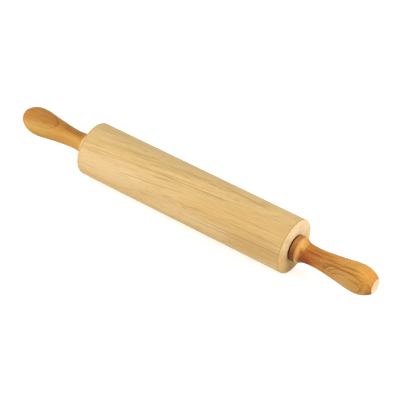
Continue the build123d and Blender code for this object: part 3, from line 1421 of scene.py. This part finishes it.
@dataclass
class HandleEnd:
    """One turned handle with its collar, fibre washer and end plug."""

    side: Side
    wood: Material
    plug_wood: Material
    collar_wood: Material
    fibre: Material
    bead_width: float = 3.0 * MM
    bead_steps: int = 14
    foot_ease: float = 0.3 * MM
    end_room: float = 0.3 * MM
    rod_clearance: float = 0.15 * MM
    plug_clearance: float = 0.02 * MM
    rim_ease: float = 0.16 * MM
    washer_ease: float = 0.15 * MM
    ease_steps: int = 3
    collar_round: float = 0.5 * MM
    plug_chamfer: float = 0.4 * MM
    curve_steps: int = 5
    plug_ring_share: float = 0.5
    segments: int = 160
    stations_along: int = 150
    spacing: float = 0.35 * MM
    outline_margin: float = 0.15 * MM

    def name(self, word: str) -> str:
        """The name of one of this end's nodes or pieces."""
        return f"{self.side.prefix}_{word}"

    def reach(self, word: str) -> Pair:
        """A node's places along the pin, counted outwards from the pin's middle."""
        low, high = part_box(self.name(word))
        return (low.x, high.x) if self.side is Side.RIGHT else (-high.x, -low.x)

    def outer_line(self) -> Tuple[np.ndarray, np.ndarray]:
        """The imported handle's outer line, thinned to a steady spacing.

        Returns:
            Its places along the pin, counted outwards, and its radii.
        """
        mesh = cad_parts[self.name("handle")].data
        spots = np.array([vert.co for vert in mesh.vertices])
        places = spots[:, 0] * self.side.value
        radii = np.hypot(spots[:, 1], spots[:, 2] - AXIS_HEIGHT)
        outside = radii > node_radius(self.name("plug")) + self.outline_margin
        order = np.argsort(places[outside])
        places, radii = places[outside][order], radii[outside][order]
        kept_places, kept_radii = [places[0]], [radii[0]]
        for place, radius in zip(places, radii):
            if place - kept_places[-1] > self.spacing:
                kept_places.append(place)
                kept_radii.append(radius)
        if places[-1] - kept_places[-1] > HAIR:
            kept_places[-1], kept_radii[-1] = places[-1], radii[-1]
        return np.array(kept_places), np.array(kept_radii)

    def handle(self) -> List[Station]:
        """Draws the handle: a bead, a cove, a long grip and a round end, bored for the rod.

        Returns:
            Its outline.
        """
        places, radii = self.outer_line()
        foot, end = places[0], places[-1]
        crease = foot + self.bead_width
        in_bead = places <= crease + HAIR
        after = places >= crease - HAIR
        bead = smooth_through(places[in_bead], radii[in_bead], self.bead_steps)
        body = smooth_through(places[after], radii[after], self.stations_along)
        hole = node_radius("axle_rod") + self.rod_clearance
        well = node_radius(self.name("plug")) + self.plug_clearance
        floor = self.reach("handle_washer")[0]
        before = (end - MM, body[-3][1])
        return [
            Station(foot, hole, True),
            Station(foot, radii[0] - self.foot_ease),
            *(Station(x, radius) for x, radius in bead[:-1]),
            Station(*bead[-1], True),
            *(Station(x, radius) for x, radius in body[1:-1] if x < end - self.end_room),
            *rounded((end, radii[-1]), before, (end, well), self.rim_ease, self.ease_steps),
            Station(end, well, True),
            Station(floor, well, True),
            Station(floor, hole, True),
        ]

    def collar(self) -> List[Station]:
        """Draws the collar between the fibre washer and the handle's foot.

        Returns:
            Its outline.
        """
        inner, outer = self.reach("collar")
        radius = node_radius(self.name("collar"))
        hole = node_radius("axle_rod") + self.rod_clearance
        middle = (inner + outer) / 2
        ease = (self.collar_round, self.curve_steps)
        return [
            Station(inner, hole, True),
            *rounded((inner, radius), (inner, hole), (middle, radius), *ease),
            Station(middle, radius),
            *rounded((outer, radius), (middle, radius), (outer, hole), *ease),
            Station(outer, hole, True),
        ]

    def washer(self) -> List[Station]:
        """Draws the fibre washer between the barrel's face and the collar.

        Returns:
            Its outline.
        """
        inner, outer = self.reach("thrust_washer")
        radius = node_radius(self.name("thrust_washer"))
        hole = node_radius(self.name("hub_spacer")) + self.rod_clearance
        ease = (self.washer_ease, self.ease_steps)
        return [
            Station(inner, hole, True),
            *rounded((inner, radius), (inner, hole), (outer, radius), *ease),
            *rounded((outer, radius), (inner, radius), (outer, hole), *ease),
            Station(outer, hole, True),
        ]

    def plug(self) -> List[Station]:
        """Draws the pale plug that closes the handle's end.

        Returns:
            Its outline.
        """
        inner, outer = self.reach("plug")
        radius = node_radius(self.name("plug"))
        ease = (self.plug_chamfer, self.curve_steps)
        return [
            Station(inner, 0.0),
            Station(inner, radius, True),
            Station(outer - self.plug_chamfer, radius),
            *rounded((outer, radius), (inner, radius), (outer, 0.0), *ease)[1:],
            Station(outer, radius * self.plug_ring_share),
            Station(outer, 0.0),
        ]

    def build(self) -> None:
        """Builds this end's four visible pieces from their outlines, which run outwards."""
        sign = self.side.value
        for word, outline, node, slot, material in (
            ("fibre_washer", self.washer(), "thrust_washer", "fibre", self.fibre),
            ("turned_collar", self.collar(), "collar", "collar_wood", self.collar_wood),
            ("turned_handle", self.handle(), "handle", "stained_wood", self.wood),
            ("end_plug", self.plug(), "plug", "plug_wood", self.plug_wood),
        ):
            stations = [replace(station, x=sign * station.x) for station in outline]
            piece = Turning(self.name(word), stations, self.segments).build()
            settle(piece, "handles", self.name(node), material)


@dataclass
class Bearing:
    """One ball bearing: its packed rings and cage, and its balls, which are made afresh."""

    side: Side
    ground: Material
    brass: Material
    ball_count: int = 7
    ball_detail: int = 4

    def name(self, word: str) -> str:
        """The name of one of this bearing's nodes, pieces or bodies."""
        return f"{self.side.prefix}_{word}"

    def balls(self) -> None:
        """Builds the balls, evenly spaced in the groove from the one straight behind the axis."""
        low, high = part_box(self.name("balls"))
        radius = (high.x - low.x) / 2
        form = bmesh.new()
        for centre in places_round((low.x + high.x) / 2, high.y - radius, self.ball_count):
            bmesh.ops.create_icosphere(
                form,
                subdivisions=self.ball_detail,
                radius=radius,
                matrix=Matrix.Translation(centre),
            )
        for face in form.faces:
            face.smooth = True
        piece = as_piece(self.name("ground_balls"), form)
        settle(piece, self.name("ball_cage"), self.name("balls"), self.ground)

    def build(self) -> None:
        """Dresses the rings and the cage and builds the balls."""
        dress(self.name("inner_race"), self.ground)
        dress(self.name("outer_race"), self.ground)
        dress(self.name("cage"), self.brass)
        self.balls()


@dataclass
class AxleWork:
    """The steel rod, tube, rings, washers and nuts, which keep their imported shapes.

    The rod's ends are threaded, sixteen to the inch.
    """

    rod: Metal = Metal(
        name="zinc_rod",
        colour=linear(200, 202, 204),
        work=MetalWork.DRAWN,
        roughness=0.34,
        tarnish=linear(140, 140, 136),
        thread_pitch=1.5875,
        thread_from=228.0,
    )
    plain_steel: Metal = Metal(
        name="zinc_steel",
        colour=linear(196, 198, 200),
        work=MetalWork.TURNED,
        roughness=0.36,
        tarnish=linear(136, 136, 130),
    )

    def build(self) -> None:
        """Dresses the rod, the tube and what is stacked on the rod."""
        dress("axle_rod", self.rod.make())
        steel = self.plain_steel.make()
        dress("spacer_tube", steel)
        for side in Side:
            for word in ("hub_spacer", "handle_washer", "lock_nut"):
                dress(f"{side.prefix}_{word}", steel)


@dataclass(frozen=True)
class Lamp:
    """A square soft light: where it hangs, what it points at, its width and its watts."""

    name: str
    place: Triple
    aim: Triple
    size: float
    power: float

    def hang(self) -> None:
        """Hangs the light."""
        data = bpy.data.lights.new(self.name, "AREA")
        data.size = self.size
        data.energy = self.power
        lamp = bpy.data.objects.new(self.name, data)
        lamp.location = self.place
        sight = Vector(self.aim) - Vector(self.place)
        lamp.rotation_euler = sight.to_track_quat("-Z", "Y").to_euler()
        bpy.context.scene.collection.objects.link(lamp)


@dataclass
class Studio:
    """A white sweep, soft light all round and the camera."""

    azimuth: float = 36.22
    elevation: float = 42.21
    distance: float = 1.987
    lens: float = 146.1
    sensor_width: float = 36.0
    aim_right: float = 0.0106
    aim_up: float = -0.00494
    floor_size: float = 14.0
    floor_grey: float = 0.82
    floor_lift: float = 0.62
    dome_strength: float = 0.5
    gloss_strength: float = 0.75
    lamps: Tuple[Lamp, ...] = (
        Lamp("overhead", place=(0.0, 0.1, 1.5), aim=(0.0, 0.0, 0.03), size=1.4, power=5.0),
        Lamp("front_left", place=(-0.85, -0.95, 0.42), aim=(-0.14, 0.0, 0.03), size=0.8, power=8.2),
        Lamp("right", place=(1.25, 0.2, 0.75), aim=(0.15, 0.0, 0.04), size=0.7, power=9.0),
    )

    def build(self) -> None:
        """Builds the floor, the world, the lights and the camera."""
        self._floor()
        self._world()
        for lamp in self.lamps:
            lamp.hang()
        self._camera()
        bpy.context.scene.view_settings.view_transform = "Standard"

    def _floor(self) -> None:
        """Makes the pale floor, whose own light only the camera sees."""
        form = bmesh.new()
        half = self.floor_size / 2
        corners = ((-half, -half), (half, -half), (half, half), (-half, half))
        form.faces.new([form.verts.new((x, y, 0.0)) for x, y in corners])
        floor = as_piece("floor", form)
        recipe = Recipe(bpy.data.materials.new("white_floor"))
        path = recipe.node("ShaderNodeLightPath")
        seen = recipe.value(path, "Is Camera Ray")
        grey = (self.floor_grey, self.floor_grey, self.floor_grey)
        sheet = recipe.node("ShaderNodeBsdfDiffuse", sockets={"Color": grey})
        lift = recipe.node(
            "ShaderNodeEmission", sockets={"Color": WHITE, "Strength": seen * self.floor_lift}
        )
        both = recipe.node(
            "ShaderNodeAddShader", sockets={0: sheet.outputs[0], 1: lift.outputs[0]}
        )
        recipe.node("ShaderNodeOutputMaterial", sockets={"Surface": both.outputs[0]})
        floor.data.materials.append(recipe.owner)

    def _world(self) -> None:
        """Makes the soft light all round, which the camera and gloss see brighter."""
        recipe = Recipe(bpy.data.worlds.new("tent"))
        bpy.context.scene.world = recipe.owner
        path = recipe.node("ShaderNodeLightPath")
        seen = recipe.value(path, "Is Camera Ray") + recipe.value(path, "Is Transmission Ray")
        gloss = recipe.value(path, "Is Glossy Ray")
        strength = (
            self.dome_strength
            + seen * (1.0 - self.dome_strength)
            + gloss * (self.gloss_strength - self.dome_strength)
        )
        tent = recipe.node("ShaderNodeBackground", sockets={"Color": WHITE, "Strength": strength})
        recipe.node("ShaderNodeOutputWorld", sockets={"Surface": tent.outputs[0]})

    def _camera(self) -> None:
        """Stands the camera at the photograph's angle."""
        across, rise = math.radians(self.azimuth), math.radians(self.elevation)
        level = math.cos(rise)
        back = Vector((math.sin(across) * level, -math.cos(across) * level, math.sin(rise)))
        right = Vector((math.cos(across), math.sin(across), 0.0))
        up = back.cross(right)
        target = Vector((0.0, 0.0, AXIS_HEIGHT)) + right * self.aim_right + up * self.aim_up
        data = bpy.data.cameras.new("camera")
        data.lens = self.lens
        data.sensor_width = self.sensor_width
        camera = bpy.data.objects.new("camera", data)
        camera.location = target + back * self.distance
        camera.rotation_mode = "QUATERNION"
        camera.rotation_quaternion = (-back).to_track_quat("-Z", "Y")
        bpy.context.scene.collection.objects.link(camera)
        bpy.context.scene.camera = camera


def handle_ends() -> List[HandleEnd]:
    """Both handle ends, the right-hand one first.

    Returns:
        The two ends.
    """
    # the collar's golden top and plum bottom are painted light and shade, and its dark inner corner
    # is painted shade
    collar_wood = EndGrainBand(
        "collar_wood",
        lit_golden=linear(200, 132, 64),
        brown=linear(156, 94, 50),
        shaded_plum=linear(128, 74, 62),
        pore=linear(66, 30, 22),
        gap_shade_place=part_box("right_collar")[0].x / MM,
    ).make()
    # the washer's near-black brown is its own colour and also painted shade for the gap between the
    # barrel's face and the collar
    fibre = Fibre("washer_fibre", colour=linear(42, 20, 12), light=linear(70, 38, 24)).make()
    plug_wood = plug_maple().make()
    return [
        HandleEnd(side, handle_wood(side).make(), plug_wood, collar_wood, fibre)
        for side in (Side.RIGHT, Side.LEFT)
    ]


def bearings() -> List[Bearing]:
    """Both bearings, with their shared steel and brass.

    Returns:
        The two bearings.
    """
    ground = Metal(
        name="ground_steel",
        colour=linear(214, 214, 217),
        work=MetalWork.GROUND,
        roughness=0.18,
        tarnish=linear(150, 146, 140),
        tarnish_amount=0.12,
    ).make()
    brass = Metal(
        name="cage_brass",
        colour=linear(214, 176, 96),
        work=MetalWork.TURNED,
        roughness=0.32,
        tarnish=linear(150, 108, 52),
    ).make()
    return [Bearing(side, ground, brass) for side in Side]


def main() -> None:
    """Builds the pin's pieces in order, then the studio."""
    logging.basicConfig(level=logging.INFO, format="%(name)s: %(message)s")
    Barrel().build()
    for end in handle_ends():
        end.build()
    AxleWork().build()
    for bearing in bearings():
        bearing.build()
    Studio().build()


if __name__ == "__main__":
    main()
